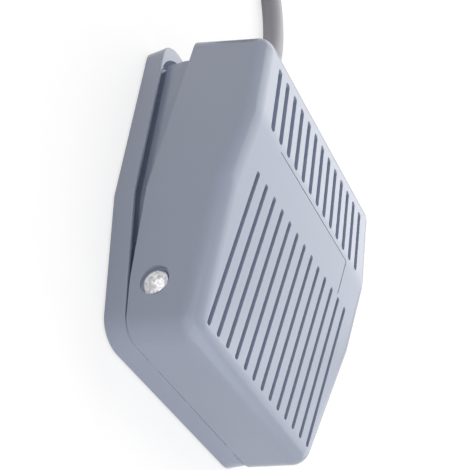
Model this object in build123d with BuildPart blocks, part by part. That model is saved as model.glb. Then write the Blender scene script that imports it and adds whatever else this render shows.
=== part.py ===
from build123d import *
import os
from math import asin, atan, atan2, cos, degrees, radians, sin, sqrt, tan

# Foot switch: a hinged pedal over a low base, with a snap-action switch inside and a cable at the toe.
# X runs from the hinged heel end to the toe, Y across, Z up. The origin is under the middle of the body.

# Base outline, seen from above
base_length = 89.0
base_half_width = 34.2
heel_narrowing = 6.0
taper_length = 33.9
heel_corner_radius = 6.5
toe_corner_radius = 7.0
bend_radius = 6.0

# How far the rounded pedal leans out past the heel end; the origin is midway between that and the toe
heel_overhang = 2.118

# Base tray
foot_proud = 0.5
base_height = 4.9
floor_thickness = 2.4
rim_round = 0.4
rim_width = 0.8
rim_slope = 30.0
ledge_length = 2.5
channel_corner_radius = 10.0
stub_wall = 1.8
stub_overhang = 1.0
pad_rise = 0.15
pad_width = 3.9
pad_depth = 2.2
pad_spread = 17.05
clamp_bite = 1.2

# Rubber feet
foot_radius = 5.0
foot_fit = 0.1
foot_recess = 1.0
foot_heel_inset = 14.0
foot_toe_inset = 11.0
foot_side_inset = 11.5

# Switch housing, a drafted ring that stands on the stub wall
deck_inset = 2.6
deck_wall = 2.0
deck_height = 7.5
deck_toe_inset = 7.2
deck_corner_radius = 4.5
deck_toe_radius = 2.5
draft = 3.0
ear_radius = 4.5
ear_boss_radius = 3.6
ear_boss_length = 2.5
housing_post_radius = 3.4
housing_post_sink = 1.4
housing_post_gap = 1.0
post_foot_gap = 0.7
housing_pilot_radius = 1.25
housing_pilot_depth = 5.5

# Screws through the base tray into the housing
screw_radius = 1.45
screw_bite = 0.25
screw_clearance = 0.2
screw_head_radius = 2.8
screw_head_height = 1.7
screw_head_recess = 2.1
screw_length = 8.0
screw_slot_length = 4.2
screw_slot_width = 0.6
screw_slot_depth = 0.8

# Pedal shell
pedal_wall = 2.2
pedal_heel_corner = 5.0
pedal_toe_corner = 4.2
pedal_top_round = 4.0
fold_radius = 25.0
knee_radius = 20.0

# Its side profile, as heights above the underside of the base and places from the base's heel end or toe
heel_bottom = (-0.2, 5.2)
heel_knee = (12.0, 5.5)
toe_knee = (base_length - 9.0, 13.65)
toe_bottom = (base_length - 4.9, 14.1)
toe_top = (base_length - 12.5, 33.12)
fold_top = (50.85, 31.73)
heel_top = (-2.7, 19.9)

# Extra length of the pedal's drafted sides before they are trimmed to the profile
pedal_sill = 3.0
trim_length = 20.0
trim_height = 60.0
underside_drop = 8.0

# Ribs under the pedal's roof
rib_depth = 3.0
rib_thickness = 1.6
rib_spread = 13.0
rib_start = 6.0
rib_toe_inset = 3.5

# Grip grooves in the tread, in a slight fan that opens towards the toe
groove_count = 13
groove_pitch = 3.9
groove_fan = 0.0041
groove_depth = 1.0
groove_start = 1.25
groove_end = 39.33
groove_width = 1.2
toe_groove_start = 51.19
toe_groove_inset = 5.02
toe_groove_width = 1.7

# Fine score line across the fold
score_position = 49.7
score_half_length = 19.4
score_width = 0.3
score_depth = 0.3
score_return = 10.0

# Hinge pin with domed heads
pin_position = 10.25
pin_height = 11.25
pin_radius = 1.5
pin_head_radius = 3.0
pin_head_height = 1.7
pin_head_sink = 0.6
pin_recess_gap = 0.35
pin_fit = 0.05
bearing_fit = 0.08

# Return spring
spring_position = 61.0
spring_mean_radius = 5.0
spring_wire_radius = 0.6
spring_turns = 6.0
spring_seat_gap = 0.3
spring_boss_gap = 0.4
spring_boss_height = 2.5
spring_cup_depth = 3.5

# Snap-action switch
switch_position = 33.0
switch_length = 27.8
switch_height = 15.9
switch_thickness = 10.3
switch_case_thickness = 7.0
switch_edge = 0.6
switch_hole_pitch = 22.2
switch_hole_rise = 10.3
switch_hole_offset = 2.8
switch_hole_radius = 1.6
recess_length = 13.9
recess_height = 6.4
recess_depth = 0.3
bracket_thickness = 2.4
bracket_margin = 1.0
button_position = 27.0
button_length = 3.0
button_width = 2.6
button_depth = 4.0
button_travel = 1.2
button_fit = 0.1
button_corner = 0.5
button_round = 0.3
lever_pivot = 20.5
lever_pivot_rise = 1.3
lever_length = 24.0
lever_thickness = 0.4
lever_width = 4.0
lever_eye_radius = 0.95
lever_pin_radius = 0.5
press_ease = 0.01
lever_angle = 11.5
lever_lug_gap = 0.3
lever_lug_thickness = 1.1
lever_gap = 0.15
actuator_position = 39.0
actuator_radius = 1.5
actuator_gap = 0.3
actuator_half_width = 3.0

# Terminals
terminal_length = 6.4
terminal_width = 4.8
terminal_thickness = 0.8
terminal_hole_radius = 0.8
terminal_hole_place = 4.16
terminal_tip = 0.96
terminal_low = 3.2
terminal_high = 9.2

# Switch screws and nuts
switch_screw_radius = 1.5
switch_screw_head = 2.75
switch_screw_head_height = 1.9
nut_across_flats = 5.5
nut_thickness = 2.4
switch_slot_width = 0.7
switch_slot_depth = 0.9

# Cable, its strain relief and its clamp
cable_diameter = 7.0
cable_height = 7.4
cable_offset = -10.0
cable_fit = 0.05
boot_flange_radius = 4.9
boot_flange_length = 1.6
boot_neck_radius = 4.1
boot_collar_radius = 4.9
boot_collar_length = 1.8
boot_root_radius = 4.5
boot_tip_radius = 3.95
boot_length = 26.0
boot_rings = 6
boot_ring_depth = 0.3
boot_ring_width = 1.4
boot_gap = 0.15
cable_end_inset = 10.46
clamp_inset = 5.36
clamp_width = 5.0
clamp_thickness = 1.5
clamp_post_radius = 2.7
clamp_post_spread = 7.4
clamp_screw_radius = 1.1
clamp_screw_head = 2.1
clamp_screw_head_height = 1.4
clamp_screw_edge = 0.4
clamp_screw_length = 6.0
notch_gap = 0.9
travel_angle = 6.0

# Leads inside and at the free end
lead_radius = 1.1
lead_spread = 1.8
lead_gap = 0.1
core_length = 16.0
copper_radius = 0.55
copper_length = 5.0

# The coil that the spare cable lies in, and its free end
arc_share = 0.45
coil_mean_radius = 38.5
coil_section = 14.0
coil_centre = (197.5, 37.0)
coil_entry_angle = -47.0
tail_angle = 18.0
tail_turn = 52.0
tail_sink = 1.5
tail_length = 20.0

# Levels and places that follow from the sizes above
cable_radius = cable_diameter / 2
heel_half_width = base_half_width - heel_narrowing
heel_x = (heel_overhang - base_length) / 2
toe_x = heel_x + base_length
base_bottom = foot_proud
floor_top = base_bottom + floor_thickness
rim_top = base_bottom + base_height
deck_top = rim_top + deck_height
deck_toe_x = toe_x - deck_toe_inset
rib_end = toe_top[0] - rib_toe_inset
toe_groove_end = toe_top[0] - toe_groove_inset
channel_end_x = toe_x - ledge_length
taper_slope = (base_half_width - heel_half_width) / taper_length
taper_angle = atan(taper_slope)
pin_x = heel_x + pin_position
pin_z = base_bottom + pin_height
cable_z = base_bottom + cable_height
cable_y = cable_offset


def place(point):
    """A point of the side profile, in the part's own X and Z."""
    return (heel_x + point[0], base_bottom + point[1])


def half_width(x, inset=0.0):
    """Half the width of the outline at x, moved in by inset square to its sides."""
    tapered = heel_half_width + (x - heel_x) * taper_slope - inset / cos(taper_angle)
    return min(base_half_width - inset, tapered)


def plan(level, inset=0.0, end_x=toe_x, heel_radius=heel_corner_radius, end_radius=toe_corner_radius):
    """The outline from above at one level, moved in by inset, with its toe side at end_x."""
    start_x = heel_x + inset
    bend_x = heel_x + taper_length + inset * tan(taper_angle / 2)
    corners = [
        (start_x, half_width(start_x, inset)),
        (bend_x, base_half_width - inset),
        (end_x, base_half_width - inset),
    ]
    mirrored = [(x, -y) for x, y in corners]
    with BuildSketch(Plane.XY.offset(level)) as outline:
        with BuildLine():
            Polyline(*mirrored, *reversed(corners), close=True)
        make_face()
        fillet(outline.vertices().group_by(Axis.X)[0], heel_radius)
        fillet(outline.vertices().group_by(Axis.X)[-1], end_radius)
        fillet(outline.vertices().filter_by(lambda v: abs(v.X - bend_x) < 0.01), bend_radius)
    return outline.sketch


# Directions of the pedal: its lower edge, its tread and its toe plane
edge_slope = (toe_knee[1] - heel_knee[1]) / (toe_knee[0] - heel_knee[0])
edge_angle = atan(edge_slope)
tread_angle = atan2(fold_top[1] - heel_top[1], fold_top[0] - heel_top[0])
toe_plane_angle = atan2(toe_top[1] - fold_top[1], toe_top[0] - fold_top[0])
toe_lean = atan2(toe_bottom[0] - toe_top[0], toe_top[1] - toe_bottom[1])


def tread_height(position):
    """Height of the tread or toe plane above the base underside, at a place from the heel end."""
    if position < fold_top[0]:
        return fold_top[1] - (fold_top[0] - position) * tan(tread_angle)
    return fold_top[1] + (position - fold_top[0]) * tan(toe_plane_angle)


def lengthen(start, end, extra):
    """The point that lies extra beyond end on the line from start."""
    run = (end[0] - start[0], end[1] - start[1])
    share = extra / sqrt(run[0] ** 2 + run[1] ** 2)
    return (end[0] + run[0] * share, end[1] + run[1] * share)


def pedal_block(inset, drop):
    """The pedal's outer form, moved in by inset, with its open underside lowered by drop."""
    sill = pedal_sill + drop
    corners = [
        lengthen(heel_top, heel_bottom, drop),
        (heel_knee[0], heel_knee[1] - drop),
        (toe_knee[0], toe_knee[1] - drop),
        lengthen(toe_top, toe_bottom, drop),
        toe_top,
        fold_top,
        heel_top,
    ]
    rounds = [
        (place(fold_top), fold_radius),
        (place(corners[1]), knee_radius),
        (place(corners[2]), knee_radius),
    ]
    with BuildSketch(Plane.XZ) as side:
        with BuildLine():
            Polyline(*[place(corner) for corner in corners], close=True)
        make_face()
        for corner, radius in rounds:
            fillet(side.vertices().sort_by_distance((corner[0], corner[1], 0))[0], radius)
        if inset > 0:
            offset(amount=-inset)
    base_point = place((0.0, heel_knee[1] - heel_knee[0] * edge_slope))
    along = (cos(edge_angle), 0, sin(edge_angle))
    upward = (-sin(edge_angle), 0, cos(edge_angle))
    tilted = Plane(origin=(base_point[0], 0, base_point[1]), x_dir=along, z_dir=upward)
    widening = sill * tan(radians(draft))
    bend = taper_length / cos(edge_angle) + inset * tan(taper_angle / 2)
    heel_half = heel_half_width - inset / cos(taper_angle) - trim_length * taper_slope + widening
    wide_half = base_half_width - inset + widening
    end = base_length / cos(edge_angle) + trim_length
    outline = [(-trim_length, heel_half), (bend, wide_half), (end, wide_half)]
    with BuildPart() as block:
        with BuildSketch(tilted.offset(-sill)) as sides:
            with BuildLine():
                Polyline(*[(x, -y) for x, y in outline], *reversed(outline), close=True)
            make_face()
        extrude(amount=trim_height, taper=draft)
        extrude(side.sketch, amount=base_length, both=True, mode=Mode.INTERSECT)
        ends = block.faces().filter_by(lambda f: abs(f.normal_at().X) > 0.85).sort_by(Axis.X)
        heel_edges = ends[0].edges().filter_by(lambda e: abs(e.tangent_at(0.5).Y) < 0.5)
        fillet(heel_edges, pedal_heel_corner - inset)
        ends = block.faces().filter_by(lambda f: abs(f.normal_at().X) > 0.85).sort_by(Axis.X)
        toe_edges = ends[-1].edges().filter_by(lambda e: abs(e.tangent_at(0.5).Y) < 0.5)
        fillet(toe_edges, pedal_toe_corner - inset)
        tops = block.faces().filter_by(lambda f: f.normal_at().Z > 0.9)
        rim = [e for e in tops.edges() if len([f for f in tops if e in f.edges()]) == 1]
        fillet(rim, pedal_top_round - inset)
    return block.part


def deck_block(inset):
    """The form of the switch housing, moved in by inset."""
    toe_low = (deck_toe_x - inset / cos(toe_lean), rim_top)
    toe_high = (toe_low[0] - deck_height * tan(toe_lean), deck_top)
    heel_end = heel_x
    with BuildPart() as block:
        extrude(
            plan(
                rim_top,
                deck_inset + inset,
                deck_toe_x,
                deck_corner_radius - inset,
                deck_toe_radius - inset,
            ),
            amount=ear_radius + pin_height,
            taper=draft,
        )
        with BuildSketch(Plane.XZ) as side:
            with BuildLine():
                Polyline((heel_end, rim_top), toe_low, toe_high, (heel_end, deck_top), close=True)
            make_face()
            with Locations((pin_x, pin_z)):
                Circle(ear_radius)
        extrude(amount=base_length, both=True, mode=Mode.INTERSECT)
    return block.part


# Places that several pieces share
foot_columns = (heel_x + foot_heel_inset, toe_x - foot_toe_inset)
foot_places = [(x, side * (half_width(x) - foot_side_inset)) for x in foot_columns for side in (1, -1)]
post_spacing = foot_radius + screw_head_radius + post_foot_gap
post_columns = (foot_columns[0] + post_spacing, foot_columns[1] - post_spacing)
post_inset = housing_post_radius - housing_post_sink
post_places = [
    (x, side * (half_width(x, deck_inset + deck_wall) - post_inset))
    for x in post_columns
    for side in (1, -1)
]
gland_x = deck_toe_x - deck_wall / cos(toe_lean) - deck_height * tan(toe_lean)
spring_x = heel_x + spring_position
clamp_x = gland_x - clamp_inset
clamp_places = [(clamp_x, cable_y + side * clamp_post_spread) for side in (1, -1)]
switch_x = heel_x + switch_position
switch_low = floor_top
switch_top = switch_low + switch_height
case_outer = -switch_thickness / 2
case_inner = switch_thickness / 2
case_middle = case_inner / 2
case_heel_x = switch_x - switch_length / 2
case_toe_x = switch_x + switch_length / 2
hole_places = [
    (switch_x - switch_hole_pitch / 2, switch_low + switch_hole_offset),
    (switch_x + switch_hole_pitch / 2, switch_low + switch_hole_offset + switch_hole_rise),
]
clamp_seat = cable_z + cable_radius - clamp_bite

# Base tray
with BuildPart() as base_tray:
    extrude(plan(base_bottom), amount=base_height)
    fillet(base_tray.faces().sort_by(Axis.Z)[-1].edges(), rim_round)
    extrude(
        plan(rim_top, rim_width, channel_end_x, heel_corner_radius - rim_width, channel_corner_radius),
        amount=-(base_height - floor_thickness),
        taper=rim_slope,
        mode=Mode.SUBTRACT,
    )
    stub_inset = deck_inset + stub_overhang
    stub_radius = deck_corner_radius - stub_overhang
    stub_toe_radius = deck_toe_radius - stub_overhang
    stub_end = deck_toe_x - stub_overhang
    with BuildSketch(Plane.XY.offset(floor_top)):
        add(plan(0, stub_inset, stub_end, stub_radius, stub_toe_radius))
        add(
            plan(
                0,
                stub_inset + stub_wall,
                stub_end - stub_wall,
                stub_radius - stub_wall / 2,
                stub_toe_radius - stub_wall / 2,
            ),
            mode=Mode.SUBTRACT,
        )
    extrude(amount=rim_top - floor_top)
    with BuildSketch(Plane.XY.offset(floor_top)):
        with Locations(*post_places):
            Circle(housing_post_radius)
    extrude(amount=rim_top - floor_top)
    for side in (1, -1):
        with Locations((heel_x, side * pad_spread, rim_top + pad_rise)):
            Box(pad_depth, pad_width, base_height / 2, align=(Align.MIN, Align.CENTER, Align.MAX))
    with BuildSketch(Plane.XY.offset(floor_top)):
        with Locations((switch_x, case_inner + bracket_thickness / 2)):
            Rectangle(switch_length + 2 * bracket_margin, bracket_thickness)
    extrude(amount=switch_height - bracket_margin)
    with BuildSketch(Plane.XY.offset(floor_top)):
        with Locations((spring_x, 0)):
            Circle(spring_mean_radius - spring_wire_radius - spring_boss_gap)
    extrude(amount=spring_boss_height)
    with BuildSketch(Plane.XY.offset(floor_top)):
        with Locations(*clamp_places):
            Circle(clamp_post_radius)
    extrude(amount=clamp_seat - floor_top)
    with BuildSketch(Plane.YZ.offset(gland_x)):
        with Locations((cable_y, cable_z)):
            Circle(boot_collar_radius + boot_gap)
    extrude(amount=base_length, mode=Mode.SUBTRACT)
    for x, z in hole_places:
        with BuildSketch(Plane.XZ):
            with Locations((x, z)):
                Circle(switch_hole_radius)
        extrude(amount=-base_half_width / 2, mode=Mode.SUBTRACT)
    with Locations(*[(x, y, base_bottom) for x, y in foot_places]):
        Cylinder(
            foot_radius,
            foot_recess,
            align=(Align.CENTER, Align.CENTER, Align.MIN),
            mode=Mode.SUBTRACT,
        )
    with Locations(*[Location((x, y, base_bottom), (180, 0, 0)) for x, y in post_places]):
        CounterBoreHole(
            screw_radius + screw_clearance,
            screw_head_radius + screw_clearance,
            screw_head_recess,
        )
    with Locations(*[(x, y, clamp_seat) for x, y in clamp_places]):
        Hole(clamp_screw_radius, clamp_screw_length)
base_tray.part.label = "base_tray"

# Switch housing
deck_outer = deck_block(0.0)
deck_void = deck_block(deck_wall)
with BuildPart() as gland_boss:
    with BuildSketch(Plane.YZ.offset(gland_x)):
        with Locations((cable_y, cable_z)):
            Circle(boot_flange_radius)
    extrude(amount=deck_height)
    add(deck_outer, mode=Mode.INTERSECT)
with BuildPart() as switch_housing:
    add(deck_outer)
    add(deck_void, mode=Mode.SUBTRACT)
    add(gland_boss.part)
    with BuildSketch(Plane.XY.offset(rim_top)):
        with Locations(*post_places):
            Circle(housing_post_radius)
    extrude(amount=deck_height - housing_post_gap)
    bearing_y = half_width(pin_x, deck_inset + deck_wall)
    for side in (1, -1):
        with BuildSketch(Plane.XZ.offset(-side * bearing_y)):
            with Locations((pin_x, pin_z)):
                Circle(ear_boss_radius)
        extrude(amount=side * ear_boss_length)
    with BuildSketch(Plane.XZ):
        with Locations((pin_x, pin_z)):
            Circle(pin_radius + bearing_fit)
    extrude(amount=base_length, both=True, mode=Mode.SUBTRACT)
    with Locations(*[Location((x, y, rim_top), (180, 0, 0)) for x, y in post_places]):
        Hole(housing_pilot_radius, housing_pilot_depth)
    with BuildSketch(Plane.YZ.offset(gland_x)):
        with Locations((cable_y, cable_z)):
            Circle(boot_neck_radius + cable_fit)
    extrude(amount=base_length, mode=Mode.SUBTRACT)
switch_housing.part.label = "switch_housing"

# Pedal shell
pedal_outer = pedal_block(0.0, 0.0)
pedal_void = pedal_block(pedal_wall, underside_drop)
lever_pivot_x = heel_x + lever_pivot
lever_pivot_z = switch_top + lever_pivot_rise
lever_tilt = radians(lever_angle)
actuator_x = heel_x + actuator_position
lever_under_actuator = lever_pivot_z + (actuator_x - lever_pivot_x) * tan(lever_tilt)
actuator_z = lever_under_actuator + (lever_thickness + actuator_radius + actuator_gap) / cos(lever_tilt)
actuator_root = base_bottom + tread_height(actuator_position) - pedal_wall / 2
spring_roof = base_bottom + tread_height(spring_position) - pedal_wall
spring_cup_z = spring_roof - spring_cup_depth
heel_half_at_pin = half_width(pin_x)
notch_radius = boot_root_radius + notch_gap
notch_lift = (toe_bottom[0] - pin_position) * tan(radians(travel_angle))


def tread_plane(position):
    """The plane of the tread or the toe plane, with its origin at a place from the heel end."""
    angle = tread_angle if position < fold_top[0] else toe_plane_angle
    x, z = place((position, tread_height(position)))
    return Plane(origin=(x, 0, z), x_dir=(cos(angle), 0, sin(angle)), z_dir=(-sin(angle), 0, cos(angle)))


def groove_row(start, end, width):
    """A row of grip grooves between two places from the heel end, cut into the surface there."""
    run = (end - start) / tread_plane(start).x_dir.X
    with BuildSketch(tread_plane(start)) as row:
        for number in range(groove_count):
            rank = number - (groove_count - 1) / 2
            near = rank * (groove_pitch + groove_fan * (start - groove_start))
            far = rank * (groove_pitch + groove_fan * (end - groove_start))
            with Locations(Location((run / 2, (near + far) / 2), degrees(atan2(far - near, run)))):
                SlotOverall(run, width)
    return row.sketch


with BuildPart() as pedal:
    add(pedal_outer)
    add(pedal_void, mode=Mode.SUBTRACT)
    roof = [
        place((at, tread_height(at) - pedal_wall / 2)) for at in (rib_start, fold_top[0], rib_end)
    ]
    under = [
        place((at, tread_height(at) - pedal_wall - rib_depth)) for at in (rib_end, fold_top[0], rib_start)
    ]
    for side in (1, -1):
        with BuildSketch(Plane.XZ.offset(-side * rib_spread)):
            with BuildLine():
                Polyline(*roof, *under, close=True)
            make_face()
        extrude(amount=rib_thickness / 2, both=True)
    with BuildSketch(Plane.XZ):
        with BuildLine():
            Polyline(
                (actuator_x - actuator_radius, actuator_z),
                (actuator_x + actuator_radius, actuator_z),
                (actuator_x + actuator_radius, actuator_root),
                (actuator_x - actuator_radius, actuator_root),
                close=True,
            )
        make_face()
        with Locations((actuator_x, actuator_z)):
            Circle(actuator_radius)
    extrude(amount=actuator_half_width, both=True)
    with BuildSketch(Plane.XY.offset(spring_cup_z)):
        with Locations((spring_x, 0)):
            Circle(spring_mean_radius + spring_wire_radius + spring_boss_gap)
    extrude(amount=spring_cup_depth + pedal_wall / 2)
    with BuildSketch(Plane.XY.offset(spring_cup_z)):
        with Locations((spring_x, 0)):
            Circle(spring_mean_radius - spring_wire_radius - spring_boss_gap)
    extrude(amount=-spring_boss_height)
    extrude(
        groove_row(groove_start, groove_end, groove_width),
        amount=-groove_depth,
        mode=Mode.SUBTRACT,
    )
    extrude(
        groove_row(toe_groove_start, toe_groove_end, toe_groove_width),
        amount=-groove_depth,
        mode=Mode.SUBTRACT,
    )
    with BuildSketch(tread_plane(score_position)):
        Rectangle(score_width, 2 * score_half_length)
        with Locations((-score_return / 2, -score_half_length)):
            Rectangle(score_return, score_width)
    extrude(amount=-score_depth, mode=Mode.SUBTRACT)
    with BuildSketch(Plane.XZ):
        with Locations((pin_x, pin_z)):
            Circle(pin_radius + pin_fit)
    extrude(amount=base_length, both=True, mode=Mode.SUBTRACT)
    for side in (1, -1):
        with BuildSketch(Plane.XZ.offset(-side * (heel_half_at_pin - pin_head_sink))):
            with Locations((pin_x, pin_z)):
                Circle(pin_head_radius + pin_recess_gap)
        extrude(amount=-side * pin_head_radius, mode=Mode.SUBTRACT)
    with BuildSketch(Plane.YZ.offset(gland_x)):
        with Locations((cable_y, cable_z + notch_lift)):
            Circle(notch_radius)
        with Locations((cable_y, cable_z)):
            Rectangle(2 * notch_radius, 2 * notch_lift)
    extrude(amount=base_length, mode=Mode.SUBTRACT)
pedal.part.label = "pedal"

# Hinge pin
head_y = heel_half_at_pin - pin_head_sink
pin_plane = Plane(origin=(pin_x, 0, pin_z), x_dir=(1, 0, 0), z_dir=(0, 0, 1))
dome_y = head_y + pin_head_height
dome_radius = (pin_head_radius**2 + pin_head_height**2) / (2 * pin_head_height)
dome_half_angle = asin(pin_head_radius / dome_radius) / 2
dome_middle = (dome_radius * sin(dome_half_angle), dome_y - dome_radius * (1 - cos(dome_half_angle)))
with BuildPart() as hinge_pin:
    with BuildSketch(pin_plane):
        with BuildLine():
            ThreePointArc((0, -dome_y), (dome_middle[0], -dome_middle[1]), (pin_head_radius, -head_y))
            Line((pin_head_radius, -head_y), (pin_radius, -head_y))
            Line((pin_radius, -head_y), (pin_radius, head_y))
            Line((pin_radius, head_y), (pin_head_radius, head_y))
            ThreePointArc((pin_head_radius, head_y), dome_middle, (0, dome_y))
            Line((0, dome_y), (0, -dome_y))
        make_face()
    revolve(axis=Axis((pin_x, 0, pin_z), (0, 1, 0)))
hinge_pin.part.label = "hinge_pin"

# Return spring, with its end turns ground flat
spring_low = floor_top + spring_seat_gap
spring_high = spring_cup_z - spring_seat_gap
spring_pitch = (spring_high - spring_low) / spring_turns
with BuildPart() as return_spring:
    with BuildLine(Plane.XY.offset(spring_low)):
        coil_line = Helix(
            pitch=spring_pitch,
            height=spring_high - spring_low,
            radius=spring_mean_radius,
            center=(spring_x, 0, 0),
        )
    with BuildSketch(Plane(origin=coil_line @ 0, z_dir=coil_line % 0)):
        RegularPolygon(spring_wire_radius, 6)
    sweep(is_frenet=True)
    with Locations((spring_x, 0, spring_low)):
        Cylinder(
            spring_mean_radius * 2,
            spring_high - spring_low,
            align=(Align.CENTER, Align.CENTER, Align.MIN),
            mode=Mode.INTERSECT,
        )
return_spring.part.label = "return_spring"

# Rubber feet
with BuildPart() as rubber_feet:
    with Locations(*[(x, y, 0) for x, y in foot_places]):
        Cylinder(
            foot_radius - foot_fit,
            foot_proud + foot_recess,
            align=(Align.CENTER, Align.CENTER, Align.MIN),
        )
    chamfer(rubber_feet.faces().group_by(Axis.Z)[0].edges(), foot_proud / 2)
rubber_feet.part.label = "rubber_feet"

# Screws that hold the housing on the base tray
with BuildPart() as housing_screws:
    head_level = base_bottom + screw_head_recess - screw_head_height
    with Locations(*[(x, y, head_level) for x, y in post_places]):
        Cylinder(screw_head_radius, screw_head_height, align=(Align.CENTER, Align.CENTER, Align.MIN))
        Cylinder(screw_radius - screw_bite, screw_length, align=(Align.CENTER, Align.CENTER, Align.MIN))
        for length, width in ((screw_slot_length, screw_slot_width), (screw_slot_width, screw_slot_length)):
            Box(
                length,
                width,
                screw_slot_depth,
                align=(Align.CENTER, Align.CENTER, Align.MIN),
                mode=Mode.SUBTRACT,
            )
housing_screws.part.label = "housing_screws"


def switch_half(outer_y, inner_y):
    """One half of the switch body, from outer_y to inner_y across."""
    with BuildPart() as half:
        with BuildSketch(Plane.XZ.offset(-outer_y)) as side:
            with Locations((switch_x, switch_low + switch_height / 2)):
                Rectangle(switch_length, switch_height)
            chamfer(side.vertices(), switch_edge)
            with Locations(*hole_places):
                Circle(switch_hole_radius, mode=Mode.SUBTRACT)
        extrude(amount=outer_y - inner_y)
    return half.part


# Switch body: a case that holds the works and a flat cover
split_y = case_outer + switch_thickness - switch_case_thickness
case_block = switch_half(split_y, case_inner)
lug_inner = lever_width / 2 + lever_lug_gap
button_x = heel_x + button_position
button_y = case_inner / 2
button_heel = button_x - button_length / 2
button_top = lever_pivot_z + (button_heel - lever_pivot_x) * tan(lever_tilt) - lever_gap
with BuildPart() as switch_case:
    add(case_block)
    with BuildSketch(Plane.XY.offset(switch_top)):
        with Locations((lever_pivot_x, lug_inner + lever_lug_thickness / 2)):
            Rectangle(2 * lever_eye_radius, lever_lug_thickness)
    extrude(amount=lever_pivot_rise + lever_eye_radius)
    with BuildSketch(Plane.XY.offset(switch_top)):
        with Locations((button_x, button_y)):
            Rectangle(button_length + 2 * button_fit, button_width + 2 * button_fit)
    extrude(amount=-button_depth, mode=Mode.SUBTRACT)
    with BuildSketch(Plane.XZ):
        with Locations((lever_pivot_x, lever_pivot_z)):
            Circle(lever_pin_radius + press_ease)
    extrude(amount=-base_half_width, mode=Mode.SUBTRACT)
switch_case.part.label = "switch_case"

with BuildPart() as switch_cover:
    add(switch_half(case_outer, split_y))
    with BuildSketch(Plane.XZ.offset(-case_outer)):
        with Locations((switch_x, switch_low + switch_height / 2)):
            Rectangle(recess_length, recess_height)
    extrude(amount=-recess_depth, mode=Mode.SUBTRACT)
switch_cover.part.label = "switch_cover"

# Button, standing in its well in the case with room for its travel below
button_foot = switch_top - button_depth + button_travel
with BuildPart() as switch_button:
    with BuildSketch(Plane.XY.offset(button_foot)):
        with Locations((button_x, button_y)):
            RectangleRounded(button_length, button_width, button_corner)
    extrude(amount=button_top - button_foot)
    fillet(switch_button.faces().sort_by(Axis.Z)[-1].edges(), button_round)
switch_button.part.label = "switch_button"

# Spring-steel lever, raised at rest, with a rolled eye round its pin
lever_plane = Plane(
    origin=(lever_pivot_x, 0, lever_pivot_z),
    x_dir=(cos(lever_tilt), 0, sin(lever_tilt)),
    z_dir=(0, -1, 0),
)
with BuildPart() as switch_lever:
    with BuildSketch(lever_plane):
        Circle(lever_eye_radius)
        with Locations((lever_length / 2, lever_thickness / 2)):
            Rectangle(lever_length, lever_thickness)
        Circle(lever_pin_radius + pin_fit, mode=Mode.SUBTRACT)
    extrude(amount=lever_width / 2, both=True)
switch_lever.part.label = "switch_lever"

with BuildPart() as lever_pin:
    with BuildSketch(Plane.XZ.offset(-lug_inner - lever_lug_thickness)):
        with Locations((lever_pivot_x, lever_pivot_z)):
            Circle(lever_pin_radius)
    extrude(amount=2 * (lug_inner + lever_lug_thickness))
lever_pin.part.label = "lever_pin"


def terminal(face_x, level, direction):
    """A flat blade with a hole, pointing along X from the end of the switch body."""
    with BuildPart() as blade:
        with BuildSketch(Plane.XY.offset(switch_low + level - terminal_thickness / 2)):
            with Locations((face_x + direction * terminal_length / 2, case_middle)):
                Rectangle(terminal_length, terminal_width)
            with Locations((face_x + direction * terminal_hole_place, case_middle)):
                Circle(terminal_hole_radius, mode=Mode.SUBTRACT)
        extrude(amount=terminal_thickness)
        tips = blade.edges().filter_by(Axis.Z).group_by(Axis.X)[-1 if direction > 0 else 0]
        chamfer(tips, terminal_tip)
    return blade.part


# Blade terminals: common at the heel end of the body, the two switched ones at its toe end
terminal_common = terminal(case_heel_x, terminal_low, -1)
terminal_common.label = "terminal_common"
terminal_open = terminal(case_toe_x, terminal_low, 1)
terminal_open.label = "terminal_open"
terminal_closed = terminal(case_toe_x, terminal_high, 1)
terminal_closed.label = "terminal_closed"

# Screws and nuts that hold the switch to its bracket
bracket_outer = case_inner + bracket_thickness
with BuildPart() as switch_screws:
    for x, z in hole_places:
        with BuildSketch(Plane.XZ.offset(-case_outer)):
            with Locations((x, z)):
                Circle(switch_screw_head)
        extrude(amount=switch_screw_head_height)
        with BuildSketch(Plane.XZ.offset(-case_outer)):
            with Locations((x, z)):
                Circle(switch_screw_radius)
        extrude(amount=-(switch_thickness + bracket_thickness + nut_thickness))
        with BuildSketch(Plane.XZ.offset(-case_outer + switch_screw_head_height)):
            with Locations((x, z)):
                Rectangle(2 * switch_screw_head, switch_slot_width)
        extrude(amount=-switch_slot_depth, mode=Mode.SUBTRACT)
switch_screws.part.label = "switch_screws"

with BuildPart() as switch_nuts:
    for x, z in hole_places:
        with BuildSketch(Plane.XZ.offset(-bracket_outer)):
            with Locations((x, z)):
                RegularPolygon(nut_across_flats / 2, 6, major_radius=False)
                Circle(switch_screw_radius + press_ease, mode=Mode.SUBTRACT)
        extrude(amount=-nut_thickness)
switch_nuts.part.label = "switch_nuts"

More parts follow.
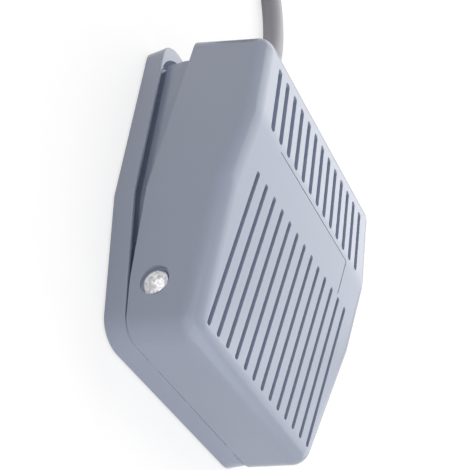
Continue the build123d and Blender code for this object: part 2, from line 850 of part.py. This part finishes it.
# Strain relief: a flange inside the housing wall, a neck through it, and a ribbed taper outside
cable_axis = Axis((0, cable_y, cable_z), (1, 0, 0))
cable_plane = Plane(origin=(0, cable_y, cable_z), x_dir=(1, 0, 0), z_dir=(0, -1, 0))
neck_start = gland_x - boot_gap
flange_start = neck_start - boot_flange_length
collar_start = deck_toe_x + boot_gap
taper_start = collar_start + boot_collar_length
boot_end = taper_start + boot_length
bore = cable_radius + cable_fit
ring_pitch = boot_length / (boot_rings + 1)
with BuildPart() as cable_boot:
    with BuildSketch(cable_plane):
        with BuildLine():
            Polyline(
                (flange_start, bore),
                (flange_start, boot_flange_radius),
                (neck_start, boot_flange_radius),
                (neck_start, boot_neck_radius),
                (collar_start, boot_neck_radius),
                (collar_start, boot_collar_radius),
                (taper_start, boot_collar_radius),
                (taper_start, boot_root_radius),
                (boot_end, boot_tip_radius),
                (boot_end, bore),
                close=True,
            )
        make_face()
        for ring in range(1, boot_rings + 1):
            ring_x = taper_start + ring * ring_pitch
            ring_radius = boot_root_radius - (boot_root_radius - boot_tip_radius) * ring / (boot_rings + 1)
            with Locations((ring_x, ring_radius)):
                Rectangle(boot_ring_width, 2 * boot_ring_depth, mode=Mode.SUBTRACT)
    revolve(axis=cable_axis)
cable_boot.part.label = "cable_boot"

# The sheathed end of the cable inside, up to the tip of the strain relief
cable_end_x = gland_x - cable_end_inset
with BuildPart() as cable_end:
    with BuildSketch(Plane.YZ.offset(cable_end_x)):
        with Locations((cable_y, cable_z)):
            Circle(cable_radius)
    extrude(amount=boot_end - cable_end_x)
cable_end.part.label = "cable_end"

# Clamp strap over the cable, on its two posts
strap_inner = cable_radius + cable_fit
strap_outer = strap_inner + clamp_thickness
with BuildPart() as cable_clamp:
    with BuildSketch(Plane.YZ.offset(clamp_x - clamp_width / 2)):
        with Locations((cable_y, cable_z)):
            Circle(strap_outer)
        with Locations((cable_y, clamp_seat + clamp_thickness / 2)):
            Rectangle(2 * (clamp_post_spread + clamp_post_radius), clamp_thickness)
        with Locations((cable_y, cable_z)):
            Circle(strap_inner, mode=Mode.SUBTRACT)
        with Locations((cable_y, clamp_seat - 2 * strap_outer)):
            Rectangle(4 * strap_outer, 4 * strap_outer, mode=Mode.SUBTRACT)
    extrude(amount=clamp_width)
    with Locations(*[(x, y, clamp_seat) for x, y in clamp_places]):
        Cylinder(clamp_screw_radius + screw_clearance, 4 * clamp_thickness, mode=Mode.SUBTRACT)
cable_clamp.part.label = "cable_clamp"

with BuildPart() as clamp_screws:
    head_base = clamp_seat + clamp_thickness
    with Locations(*[(x, y, head_base) for x, y in clamp_places]):
        Cylinder(clamp_screw_head, clamp_screw_head_height, align=(Align.CENTER, Align.CENTER, Align.MIN))
        Cylinder(clamp_screw_radius, clamp_screw_length, align=(Align.CENTER, Align.CENTER, Align.MAX))
    chamfer(clamp_screws.faces().group_by(Axis.Z)[-1].edges(), clamp_screw_edge)
clamp_screws.part.label = "clamp_screws"


def tube(points, radii, radius):
    """A round cable or wire along straight runs joined by tangent arcs."""
    with BuildLine() as route:
        FilletPolyline(*points, radius=radii)
    with BuildPart() as wire:
        with BuildSketch(Plane(origin=route.line @ 0, z_dir=route.line % 0)):
            Circle(radius)
        sweep(path=route.line)
    return wire.part


def corner_radii(points):
    """For each corner of a route, the arc that its two runs allow."""
    radii = []
    for before, corner, after in zip(points, points[1:], points[2:]):
        first = Vector(*corner) - Vector(*before)
        second = Vector(*after) - Vector(*corner)
        turn = radians(first.get_angle(second))
        radii.append(arc_share * min(first.length, second.length) / tan(turn / 2))
    return radii


# Leads from the cable to the three terminals, each ending at the near edge of its blade
lead_level = floor_top + lead_radius + lead_gap
lead_start_x = cable_end_x - lead_gap
blade_edge = case_middle - terminal_width / 2 - lead_gap
low_blade_z = switch_low + terminal_low
high_blade_z = switch_low + terminal_high
common_x = case_heel_x - terminal_hole_place
switched_x = case_toe_x + terminal_hole_place
brown_points = [
    (lead_start_x, cable_y - lead_spread, cable_z - 0.5),
    (lead_start_x - 3.0, cable_y - lead_spread, cable_z - 0.5),
    (lead_start_x - 9.0, cable_y - lead_spread - 0.3, lead_level + 1.2),
    (lead_start_x - 17.0, cable_y - 1.4, lead_level),
    (switch_x + 2.0, cable_y - 0.2, lead_level),
    (case_heel_x + 5.0, cable_y, lead_level + 0.2),
    (common_x + 5.0, cable_y + 0.8, lead_level + 1.0),
    (common_x, blade_edge - 5.0, low_blade_z),
    (common_x, blade_edge, low_blade_z),
]
blue_points = [
    (lead_start_x, cable_y + lead_spread, cable_z - 0.5),
    (lead_start_x - 4.0, cable_y + lead_spread, cable_z - 0.5),
    (switched_x + 4.0, cable_y + lead_spread - 0.4, low_blade_z + 0.3),
    (switched_x, blade_edge - 5.0, low_blade_z),
    (switched_x, blade_edge, low_blade_z),
]
black_points = [
    (lead_start_x, cable_y, cable_z + lead_spread - 0.2),
    (lead_start_x - 3.0, cable_y, cable_z + lead_spread - 0.2),
    (switched_x + 6.0, cable_y + 0.6, high_blade_z - 0.6),
    (switched_x, blade_edge - 6.0, high_blade_z),
    (switched_x, blade_edge, high_blade_z),
]
lead_brown = tube(brown_points, corner_radii(brown_points), lead_radius)
lead_brown.label = "lead_brown"
lead_blue = tube(blue_points, corner_radii(blue_points), lead_radius)
lead_blue.label = "lead_blue"
lead_black = tube(black_points, corner_radii(black_points), lead_radius)
lead_black.label = "lead_black"

# Cable from the strain relief down to the floor and away past the toe, then into its coil
coil_x = heel_x + coil_centre[0]
coil_y = coil_centre[1]
entry = radians(coil_entry_angle)
coil_outer_turn = coil_mean_radius + cable_radius
entry_point = (coil_x + coil_outer_turn * cos(entry), coil_y + coil_outer_turn * sin(entry), cable_radius)
cord_points = [
    (boot_end, cable_y, cable_z),
    (boot_end + 8.0, cable_y, cable_z),
    (82.1, -11.8, 7.1),
    (90.9, -15.5, 5.6),
    (99.3, -19.8, 4.2),
    (108.5, -22.5, 3.6),
    (117.9, -23.0, cable_radius),
    (127.4, -21.6, cable_radius),
    (137.0, -18.9, cable_radius),
    (146.1, -14.8, cable_radius),
    (155.9, -10.2, cable_radius),
    (165.6, -5.2, cable_radius),
    (174.8, 0.5, cable_radius),
    entry_point,
]
cord = tube(cord_points, corner_radii(cord_points), cable_radius)
cord.label = "cord"

# The spare cable as one closed ring of the coil's outer shape
with BuildPart() as cord_coil:
    with BuildSketch(Plane.XZ.offset(-coil_y)) as section:
        with Locations((coil_x + coil_mean_radius, coil_section / 2)):
            Rectangle(coil_section, coil_section)
        chamfer(section.vertices(), cable_radius * (2 - sqrt(2)))
    revolve(axis=Axis((coil_x, coil_y, 0), (0, 0, 1)))
cord_coil.part.label = "cord_coil"

# The free end, which leaves the coil on its inner side, with its three cores stripped
tail = radians(tail_angle)
tail_heading = radians(tail_angle + 90.0 + tail_turn)
tail_out = Vector(sin(tail_heading), -cos(tail_heading), 0)
tail_along = Vector(cos(tail_heading), sin(tail_heading), 0)
coil_inner_radius = coil_mean_radius - coil_section / 2
tail_start = Vector(
    coil_x + (coil_inner_radius + tail_sink) * cos(tail),
    coil_y + (coil_inner_radius + tail_sink) * sin(tail),
    cable_radius,
)
tail_end = tail_start + tail_along * tail_length
tail_plane = Plane(origin=tail_end, x_dir=tail_out, z_dir=tail_along)
with BuildPart() as cord_tail:
    with BuildSketch(Plane(origin=tail_start, x_dir=tail_out, z_dir=tail_along)):
        Circle(cable_radius)
    extrude(amount=tail_length)
cord_tail.part.label = "cord_tail"

core_angles = [radians(angle) for angle in (0, 120, 240)]
core_places = [(lead_spread * cos(angle), lead_spread * sin(angle)) for angle in core_angles]


def core(centre):
    """One insulated core standing out of the sheath."""
    with BuildPart() as insulated:
        with BuildSketch(tail_plane):
            with Locations(centre):
                Circle(lead_radius)
        extrude(amount=core_length)
    return insulated.part


core_brown = core(core_places[0])
core_brown.label = "core_brown"
core_blue = core(core_places[1])
core_blue.label = "core_blue"
core_black = core(core_places[2])
core_black.label = "core_black"

with BuildPart() as copper_ends:
    with BuildSketch(tail_plane.offset(core_length)):
        with Locations(*core_places):
            Circle(copper_radius)
    extrude(amount=copper_length)
copper_ends.part.label = "copper_ends"

pieces = [
    base_tray.part,
    switch_housing.part,
    pedal.part,
    hinge_pin.part,
    return_spring.part,
    rubber_feet.part,
    housing_screws.part,
    switch_case.part,
    switch_cover.part,
    switch_button.part,
    switch_lever.part,
    lever_pin.part,
    terminal_common,
    terminal_open,
    terminal_closed,
    switch_screws.part,
    switch_nuts.part,
    cable_boot.part,
    cable_end.part,
    cable_clamp.part,
    clamp_screws.part,
    lead_brown,
    lead_blue,
    lead_black,
    cord,
    cord_coil.part,
    cord_tail.part,
    core_brown,
    core_blue,
    core_black,
    copper_ends.part,
]
os.makedirs("parts", exist_ok=True)
for piece in pieces:
    export_step(piece, f"parts/{piece.label}.step")
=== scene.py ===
from math import cos, pi, radians, sin

import bpy
from mathutils import Euler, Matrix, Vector

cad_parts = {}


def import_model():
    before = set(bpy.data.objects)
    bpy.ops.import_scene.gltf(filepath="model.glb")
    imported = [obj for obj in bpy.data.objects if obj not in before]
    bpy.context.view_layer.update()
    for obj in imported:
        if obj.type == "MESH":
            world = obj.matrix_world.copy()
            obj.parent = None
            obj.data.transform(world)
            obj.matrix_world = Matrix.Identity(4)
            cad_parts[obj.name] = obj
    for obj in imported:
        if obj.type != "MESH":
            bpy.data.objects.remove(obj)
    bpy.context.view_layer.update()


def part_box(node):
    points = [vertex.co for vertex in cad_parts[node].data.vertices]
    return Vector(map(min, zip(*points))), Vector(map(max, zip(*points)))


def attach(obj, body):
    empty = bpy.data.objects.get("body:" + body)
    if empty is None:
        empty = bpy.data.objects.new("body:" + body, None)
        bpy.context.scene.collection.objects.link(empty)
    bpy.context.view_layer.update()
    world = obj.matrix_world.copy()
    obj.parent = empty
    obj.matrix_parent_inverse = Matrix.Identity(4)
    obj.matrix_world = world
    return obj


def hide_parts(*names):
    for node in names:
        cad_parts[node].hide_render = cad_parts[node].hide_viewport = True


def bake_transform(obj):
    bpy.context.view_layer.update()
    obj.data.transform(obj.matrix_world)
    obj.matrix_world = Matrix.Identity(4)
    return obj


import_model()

MM = 0.001

# Camera: place in metres, turn in degrees, and a lens for a picture as wide as it is high
CAMERA_PLACE = (-0.150756, 0.142837, 0.097135)
CAMERA_TURN = (31.2242, -62.8778, -79.6546)
CAMERA_LENS = 71.95
CAMERA_SENSOR = 36.0
CAMERA_SHIFT_Y = 0.1

# Cable: its route on the floor in millimetres, from the tip of the strain relief to the coil
CABLE_RADIUS = 3.5
CABLE_ROUTE = [
    (66.309, -10.0, 7.9),
    (74.309, -10.0, 7.9),
    (82.1, -11.8, 7.1),
    (90.9, -15.5, 5.6),
    (99.3, -19.8, 4.2),
    (108.5, -22.5, 3.6),
    (117.9, -23.0, 3.5),
    (127.4, -21.6, 3.5),
    (137.0, -18.9, 3.5),
    (146.1, -14.8, 3.5),
    (155.9, -10.2, 3.5),
    (165.6, -5.2, 3.5),
    (174.8, 0.5, 3.5),
]

# Coil: four places of a turn in its section, and the stretch of winding that leads to the next
COIL_CENTRE = (154.059, 37.0)
COIL_START = -47.0
COIL_STEP = 15.0
COIL_PLACES = [(42.0, 3.5), (42.0, 10.5), (35.0, 10.5), (35.0, 3.5)]
COIL_MOVES = [(230.0, 300.0), (520.0, 580.0), (810.0, 870.0)]
COIL_END = 1050.0

# Free end: an arc inside the coil, then the end of the sheath and its three cores
TAIL_CENTRE = (3.57, -7.77)
TAIL_RADIUS = 26.4
TAIL_ANGLES = (-62.0, -48.0, -34.0, -20.0, -6.0, 8.0, 22.0, 36.0, 50.0)
TAIL_HEADING = 160.0
TAIL_END = (12.592, 17.038)
TAIL_STRAIGHT = 4.0
CORE_LENGTH = 16.0
CORE_SPREAD = 1.8
STRAND_LENGTH = 5.0
STRAND_RADIUS = 0.2
STRAND_CIRCLE = 0.33
STRAND_TWIST = 1.3
STRANDS = 7
STRAND_SIDES = 8
STRAND_RINGS = 12

# Return spring, with closed end turns
SPRING_WIRE = 0.6
SPRING_TURNS = 6.0
SPRING_CLOSED = 0.8
SPRING_SIDES = 12
SPRING_STEPS = 36

# Floor: the colour that lights the part from below, then the colour and glow that make it white to the eye
FLOOR_SIZE = 2.4
FLOOR_HIDDEN = (0.55, 0.55, 0.56, 1.0)
FLOOR_SEEN = (0.42, 0.42, 0.42, 1.0)
FLOOR_GLOW = 0.70
WORLD_STRENGTH = 0.15

# Lamps, each with its direction, distance, size and power
LAMPS = {
    "top": ((0.0, 0.0, 1.0), 2.0, 1.2, 1.5),
    "toe": ((0.64, -0.33, 0.66), 2.0, 2.2, 21.5),
    "heel": ((-0.85, -0.25, 0.45), 2.0, 2.4, 21.0),
    "left": ((-0.5, 0.8, 0.4), 0.7, 1.0, 2.3),
    "right": ((0.1, -0.85, 0.5), 2.0, 1.2, 6.0),
}

# Shell colours, linear: the plastic, and the painted shade it darkens to in narrow gaps and grooves
SHELL = (0.397, 0.442, 0.56, 1.0)
GAP_SHADE_COLOUR = (0.215, 0.225, 0.245, 1.0)

# Worn chrome of the pin, linear
CHROME_DULL = (0.34, 0.34, 0.36, 1.0)
CHROME_BRIGHT = (0.78, 0.78, 0.79, 1.0)


def camera():
    data = bpy.data.cameras.new("camera")
    data.sensor_width = CAMERA_SENSOR
    data.lens = CAMERA_LENS
    data.shift_y = CAMERA_SHIFT_Y
    data.clip_start = 0.005
    data.clip_end = 20.0
    eye = bpy.data.objects.new("camera", data)
    eye.location = CAMERA_PLACE
    eye.rotation_euler = Euler([radians(angle) for angle in CAMERA_TURN], "XYZ")
    bpy.context.scene.collection.objects.link(eye)
    bpy.context.scene.camera = eye


# Cable


def round_spread(step):
    """How much further out a round line's control points lie than the line itself."""
    return 1 / (0.75 + 0.25 * cos(radians(step)))


def coil_place(turn):
    """Radius and height of the cable at an angle of winding, in degrees from the start of the coil."""
    radius, height = COIL_PLACES[0]
    for (start, end), (next_radius, next_height) in zip(COIL_MOVES, COIL_PLACES[1:]):
        share = min(max((turn - start) / (end - start), 0.0), 1.0)
        share = share * share * (3 - 2 * share)
        radius += (next_radius - radius) * share
        height += (next_height - height) * share
    return radius, height


def cable_points():
    """The route, the coil's turns and the free end, as control points of one line."""
    points = list(CABLE_ROUTE)
    turn = 0.0
    while turn <= COIL_END:
        radius, height = coil_place(turn)
        radius *= round_spread(COIL_STEP)
        angle = radians(COIL_START + turn)
        points.append((COIL_CENTRE[0] + radius * cos(angle), COIL_CENTRE[1] + radius * sin(angle), height))
        turn += COIL_STEP
    tail_radius = TAIL_RADIUS * round_spread(TAIL_ANGLES[1] - TAIL_ANGLES[0])
    for angle in TAIL_ANGLES:
        x = COIL_CENTRE[0] + TAIL_CENTRE[0] + tail_radius * cos(radians(angle))
        y = COIL_CENTRE[1] + TAIL_CENTRE[1] + tail_radius * sin(radians(angle))
        points.append((x, y, CABLE_RADIUS))
    end = Vector((COIL_CENTRE[0] + TAIL_END[0], COIL_CENTRE[1] + TAIL_END[1], CABLE_RADIUS))
    along = Vector((cos(radians(TAIL_HEADING)), sin(radians(TAIL_HEADING)), 0))
    points.append(tuple(end - along * TAIL_STRAIGHT))
    points.append(tuple(end))
    return points


def curve(name, points, radius, sides=6):
    """A round cable along one smooth line through space, with points in millimetres."""
    data = bpy.data.curves.new(name, "CURVE")
    data.dimensions = "3D"
    # A depth of one leaves the size to the points' own radii
    data.bevel_depth = 1.0
    data.bevel_resolution = sides
    data.use_fill_caps = True
    data.resolution_u = 6
    spline = data.splines.new("NURBS")
    spline.points.add(len(points) - 1)
    for point, (x, y, z) in zip(spline.points, points):
        point.co = (x * MM, y * MM, z * MM, 1.0)
        point.radius = radius * MM
    spline.order_u = 3
    spline.use_endpoint_u = True
    piece = bpy.data.objects.new(name, data)
    bpy.context.scene.collection.objects.link(piece)
    return piece


def add_mesh(name, verts, faces, smooth=True):
    mesh = bpy.data.meshes.new(name)
    mesh.from_pydata([(x * MM, y * MM, z * MM) for x, y, z in verts], [], faces)
    mesh.update()
    for face in mesh.polygons:
        face.use_smooth = smooth
    piece = bpy.data.objects.new(name, mesh)
    bpy.context.scene.collection.objects.link(piece)
    return piece


def copper_strands():
    """Seven twisted strands standing out of each core."""
    along = Vector((cos(radians(TAIL_HEADING)), sin(radians(TAIL_HEADING)), 0))
    out = Vector((sin(radians(TAIL_HEADING)), -cos(radians(TAIL_HEADING)), 0))
    up = along.cross(out)
    end = Vector((COIL_CENTRE[0] + TAIL_END[0], COIL_CENTRE[1] + TAIL_END[1], CABLE_RADIUS))
    verts, faces = [], []
    sides, rings = STRAND_SIDES, STRAND_RINGS
    for core in range(3):
        angle = radians(120 * core)
        start = end + out * CORE_SPREAD * cos(angle) + up * CORE_SPREAD * sin(angle) + along * CORE_LENGTH
        for strand in range(STRANDS):
            reach = 0.0 if strand == STRANDS - 1 else STRAND_CIRCLE
            first = len(verts)
            for ring in range(rings + 1):
                share = ring / rings
                turn = radians(360 / (STRANDS - 1) * strand) + STRAND_TWIST * share
                centre = start + along * (share * STRAND_LENGTH - 0.01)
                centre = centre + out * reach * cos(turn) + up * reach * sin(turn)
                for side in range(sides):
                    around = 2 * pi * side / sides
                    verts.append(tuple(centre + (out * cos(around) + up * sin(around)) * STRAND_RADIUS))
            for ring in range(rings):
                for side in range(sides):
                    a = first + ring * sides + side
                    b = first + ring * sides + (side + 1) % sides
                    faces.append((a, b, b + sides, a + sides))
            faces.append(tuple(first + side for side in reversed(range(sides))))
            faces.append(tuple(first + rings * sides + side for side in range(sides)))
    return add_mesh("strands", verts, faces)


def return_spring():
    """A wound spring in the CAD spring's place, and the heights at which its closed turns end."""
    low, high = [Vector(corner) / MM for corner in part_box("return_spring")]
    centre = (low + high) / 2
    radius = (high.x - low.x) / 2 - SPRING_WIRE
    rise = high.z - low.z - 2 * SPRING_WIRE
    verts, faces = [], []
    sides, steps = SPRING_SIDES, SPRING_STEPS
    rings = int(SPRING_TURNS * steps)
    for ring in range(rings + 1):
        turn = ring / steps
        share = (turn - SPRING_CLOSED) / (SPRING_TURNS - 2 * SPRING_CLOSED)
        share = min(max(share, 0.0), 1.0)
        angle = 2 * pi * turn
        for side in range(sides):
            around = 2 * pi * side / sides
            reach = radius + SPRING_WIRE * cos(around)
            height = low.z + SPRING_WIRE + rise * share + SPRING_WIRE * sin(around)
            verts.append((centre.x + reach * cos(angle), centre.y + reach * sin(angle), height))
    for ring in range(rings):
        for side in range(sides):
            a = ring * sides + side
            b = ring * sides + (side + 1) % sides
            faces.append((a, a + sides, b + sides, b))
    faces.append(tuple(range(sides)))
    faces.append(tuple(rings * sides + side for side in reversed(range(sides))))
    foot = Vector((centre.x, centre.y, low.z + 2 * SPRING_WIRE)) * MM
    top = Vector((centre.x, centre.y, high.z - 2 * SPRING_WIRE)) * MM
    return add_mesh("spring", verts, faces), foot, top


# Materials


class Shader:
    """A material with its nodes, each made by one call."""

    def __init__(self, name, colour, roughness, metallic=0.0, specular=0.5):
        self.material = bpy.data.materials.new(name)
        self.material.use_nodes = True
        self.tree = self.material.node_tree
        self.surface = self.tree.nodes["Principled BSDF"]
        self.surface.inputs["Base Color"].default_value = colour
        self.surface.inputs["Roughness"].default_value = roughness
        self.surface.inputs["Metallic"].default_value = metallic
        self.surface.inputs["Specular IOR Level"].default_value = specular

    def node(self, kind, **values):
        node = self.tree.nodes.new(kind)
        for key, value in values.items():
            if key in node.inputs:
                node.inputs[key].default_value = value
            else:
                setattr(node, key, value)
        return node

    def link(self, source, target):
        self.tree.links.new(source, target)

    def place(self):
        return self.node("ShaderNodeTexCoord").outputs["Object"]

    def noise(self, scale, detail=3.0, stretch=None):
        """Noise in the piece's own coordinates, with scale in bumps a metre."""
        texture = self.node("ShaderNodeTexNoise", Scale=scale, Detail=detail)
        source = self.place()
        if stretch:
            mapping = self.node("ShaderNodeMapping", Scale=stretch)
            self.link(source, mapping.inputs["Vector"])
            source = mapping.outputs["Vector"]
        self.link(source, texture.inputs["Vector"])
        return texture.outputs["Fac"]

    def ramp(self, source, low, high, start=0.3, end=0.7):
        """Two values or colours spread over a part of a texture's range."""
        spread = self.node("ShaderNodeMapRange")
        spread.inputs["From Min"].default_value = start
        spread.inputs["From Max"].default_value = end
        spread.inputs["To Min"].default_value = low
        spread.inputs["To Max"].default_value = high
        self.link(source, spread.inputs["Value"])
        return spread.outputs["Result"]

    def mix(self, share, first, second):
        blend = self.node("ShaderNodeMix", data_type="RGBA")
        colours = [socket for socket in blend.inputs if socket.type == "RGBA"]
        for socket, value in zip(colours, (first, second)):
            if hasattr(value, "is_output"):
                self.link(value, socket)
            else:
                socket.default_value = value
        self.link(share, blend.inputs[0])
        return [socket for socket in blend.outputs if socket.type == "RGBA"][0]

    def colour(self, source):
        self.link(source, self.surface.inputs["Base Color"])

    def rough(self, source):
        self.link(source, self.surface.inputs["Roughness"])

    def bump(self, source, strength, distance, after=None):
        bump = self.node("ShaderNodeBump", Strength=strength, Distance=distance)
        self.link(source, bump.inputs["Height"])
        if after:
            self.link(after, bump.inputs["Normal"])
        self.link(bump.outputs["Normal"], self.surface.inputs["Normal"])
        return bump.outputs["Normal"]


def shade(colour, share):
    return tuple(value * share for value in colour[:3]) + (1.0,)


def plastic(name, colour, rough_low, rough_high, grain=2600.0, grain_depth=0.00001, gap_shade_reach=0.0):
    """Moulded plastic: faint clouds and fine grain, with painted shade in gaps narrower than the shade
    reach, in metres.
    """
    shader = Shader(name, colour, (rough_low + rough_high) / 2)
    clouds = shader.noise(45.0, 2.0)
    tint = shader.mix(shader.ramp(clouds, 0.0, 1.0), shade(colour, 0.985), shade(colour, 1.015))
    # Painted shade: ambient occlusion darkens the colour toward the gap shade colour in narrow gaps and
    # grooves
    if gap_shade_reach:
        gap_shade_ao = shader.node("ShaderNodeAmbientOcclusion", samples=8)
        gap_shade_ao.inputs["Distance"].default_value = gap_shade_reach
        tint = shader.mix(shader.ramp(gap_shade_ao.outputs["AO"], 0.0, 1.0, 0.04, 0.3), GAP_SHADE_COLOUR, tint)
    shader.colour(tint)
    shader.rough(shader.ramp(shader.noise(160.0, 4.0), rough_low, rough_high))
    shader.bump(shader.noise(grain, 2.0), 0.3, grain_depth)
    return shader.material


def metal(name, colour, rough_low, rough_high, stretch=(1, 1, 1), depth=0.00001):
    """Metal with fine marks along one direction."""
    shader = Shader(name, colour, (rough_low + rough_high) / 2, 1.0)
    marks = shader.noise(900.0, 4.0, stretch)
    shader.colour(shader.mix(shader.ramp(marks, 0.0, 1.0), shade(colour, 0.88), colour))
    shader.rough(shader.ramp(marks, rough_low, rough_high))
    shader.bump(marks, 0.2, depth)
    return shader.material


def worn_chrome():
    """Bright metal with shallow dents and fine scratches."""
    shader = Shader("worn_chrome", (0.6, 0.6, 0.61, 1.0), 0.22, 1.0)
    marks = shader.noise(1600.0, 5.0)
    shader.colour(shader.mix(shader.ramp(marks, 0.0, 1.0), CHROME_DULL, CHROME_BRIGHT))
    dents = shader.bump(shader.noise(420.0, 3.0), 0.5, 0.0004)
    shader.bump(shader.noise(5200.0, 4.0, (1.0, 1.0, 0.2)), 0.35, 0.00006, dents)
    return shader.material


def dress(material, *nodes):
    for node in nodes:
        piece = bpy.data.objects[node]
        piece.data.materials.clear()
        piece.data.materials.append(material)
        for face in piece.data.polygons:
            face.material_index = 0


def seen_directly(tree):
    """A socket that is 1 for the camera, reflections and clear things, and 0 for light on the part."""
    rays = tree.nodes.new("ShaderNodeLightPath")
    seen = rays.outputs["Is Camera Ray"]
    for kind in ("Is Glossy Ray", "Is Transmission Ray"):
        either = tree.nodes.new("ShaderNodeMath")
        either.operation = "MAXIMUM"
        tree.links.new(seen, either.inputs[0])
        tree.links.new(rays.outputs[kind], either.inputs[1])
        seen = either.outputs[0]
    return seen


def floor():
    half = FLOOR_SIZE / 2 / MM
    corners = [(-half, -half, 0), (half, -half, 0), (half, half, 0), (-half, half, 0)]
    ground = add_mesh("floor", corners, [(0, 1, 2, 3)])
    shader = Shader("floor", (0.9, 0.9, 0.9, 1.0), 1.0, 0.0, 0.0)
    seen = seen_directly(shader.tree)
    shader.colour(shader.mix(seen, FLOOR_HIDDEN, FLOOR_SEEN))
    shader.surface.inputs["Emission Color"].default_value = (1.0, 1.0, 1.0, 1.0)
    glow = shader.node("ShaderNodeMath", operation="MULTIPLY")
    glow.inputs[1].default_value = FLOOR_GLOW
    shader.link(seen, glow.inputs[0])
    shader.link(glow.outputs[0], shader.surface.inputs["Emission Strength"])
    ground.data.materials.append(shader.material)


def light(name, direction, distance, size, power):
    data = bpy.data.lights.new(name, "AREA")
    data.size = size
    data.energy = power
    lamp = bpy.data.objects.new(name, data)
    lamp.location = Vector(direction).normalized() * distance
    lamp.rotation_euler = (-lamp.location).to_track_quat("-Z", "Y").to_euler()
    bpy.context.scene.collection.objects.link(lamp)


def world(strength):
    """A white surround for the camera and reflections, which lights the part only by its strength."""
    sky = bpy.data.worlds.new("studio")
    sky.use_nodes = True
    tree = sky.node_tree
    tree.nodes["Background"].inputs["Color"].default_value = (1, 1, 1, 1)
    seen = seen_directly(tree)
    level = tree.nodes.new("ShaderNodeMapRange")
    level.inputs["To Min"].default_value = strength
    level.inputs["To Max"].default_value = 1.0
    tree.links.new(seen, level.inputs["Value"])
    tree.links.new(level.outputs["Result"], tree.nodes["Background"].inputs["Strength"])
    bpy.context.scene.world = sky


camera()

cable = curve("cable", cable_points(), CABLE_RADIUS)
strands = copper_strands()
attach(cable, "base")
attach(strands, "base")
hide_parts("cord", "cord_coil", "cord_tail")
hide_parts("copper_ends")
spring, spring_foot, spring_top = return_spring()
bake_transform(spring)
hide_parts("return_spring")

# The shell gets painted shade in gaps and grooves up to 2.2 mm wide
shell = plastic("shell", SHELL, 0.17, 0.19, gap_shade_reach=0.0022)
sheath = plastic("sheath", (0.435, 0.43, 0.465, 1.0), 0.42, 0.52, 1800.0)
steel = metal("steel", (0.55, 0.55, 0.57, 1.0), 0.25, 0.4)
chrome = worn_chrome()
brass = metal("brass", (0.72, 0.52, 0.24, 1.0), 0.25, 0.4)
copper = metal("copper", (0.75, 0.36, 0.22, 1.0), 0.2, 0.35)
rubber = plastic("rubber", (0.02, 0.02, 0.02, 1.0), 0.6, 0.8, 1200.0)
body = plastic("switch_body", (0.02, 0.02, 0.022, 1.0), 0.4, 0.5)
red = plastic("button", (0.45, 0.03, 0.02, 1.0), 0.3, 0.4)
brown = plastic("brown_wire", (0.09, 0.03, 0.015, 1.0), 0.35, 0.45)
blue = plastic("blue_wire", (0.02, 0.08, 0.35, 1.0), 0.35, 0.45)
black = plastic("black_wire", (0.015, 0.015, 0.015, 1.0), 0.35, 0.45)

dress(shell, "pedal", "base_tray", "switch_housing", "cable_clamp")
dress(sheath, "cable_boot", "cable_end")
dress(steel, "housing_screws", "switch_screws", "switch_nuts", "switch_lever", "lever_pin", "clamp_screws")
dress(chrome, "hinge_pin")
dress(brass, "terminal_common", "terminal_open", "terminal_closed")
dress(rubber, "rubber_feet")
dress(body, "switch_case", "switch_cover")
dress(red, "switch_button")
dress(brown, "lead_brown", "core_brown")
dress(blue, "lead_blue", "core_blue")
dress(black, "lead_black", "core_black")
cable.data.materials.append(sheath)
strands.data.materials.append(copper)
spring.data.materials.append(steel)

floor()
world(WORLD_STRENGTH)
for name, values in LAMPS.items():
    light(name, *values)

bpy.context.scene.view_settings.view_transform = "Standard"
bpy.context.view_layer.update()
